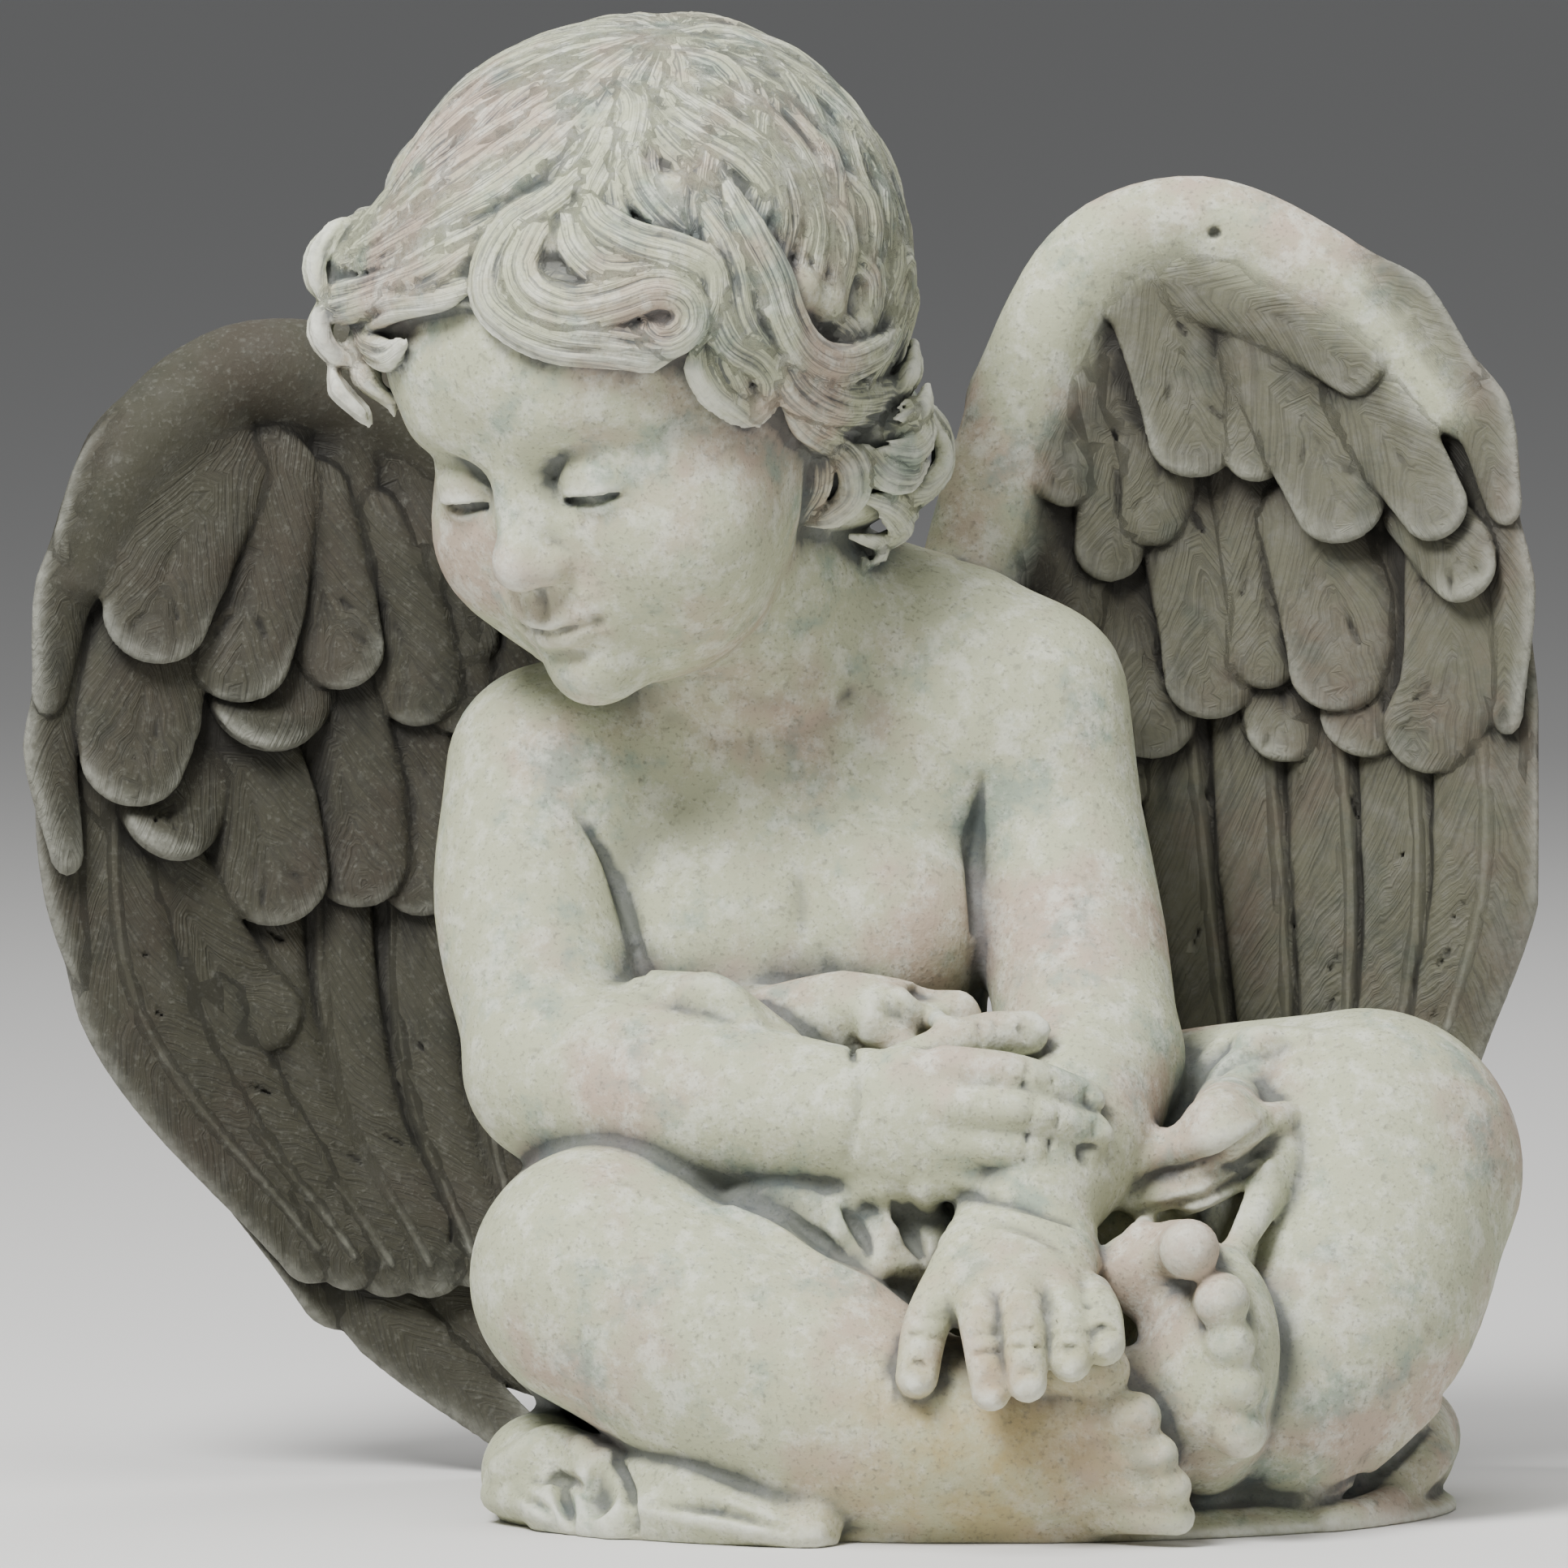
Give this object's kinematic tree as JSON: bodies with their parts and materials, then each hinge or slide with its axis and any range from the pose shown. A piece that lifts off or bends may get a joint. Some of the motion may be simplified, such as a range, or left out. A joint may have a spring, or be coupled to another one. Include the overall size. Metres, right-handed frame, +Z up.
{
  "type": "stone putto statue",
  "caption": "Cast-stone putto with two feathered wings, seated cross-legged on a crumpled cloth with forearms crossed and head bowed; a garden or grave ornament.",
  "frame": {"origin": "middle of the statue's bounding box in plan, on the flat underside that it stands on", "axes": "+Z up; the figure faces -Y with its face turned towards -X; +X runs from its right wing to its left wing"},
  "size_m": [0.3062, 0.1746, 0.3],
  "materials": {
    "cast_stone": "matt pale greenish-grey cast stone with pink and blue-grey mottling, dark wash in the crevices and pale worn edges"
  },
  "bodies": {
    "root": {"putto_statue": "cast_stone"}
  },
  "joints": []
}
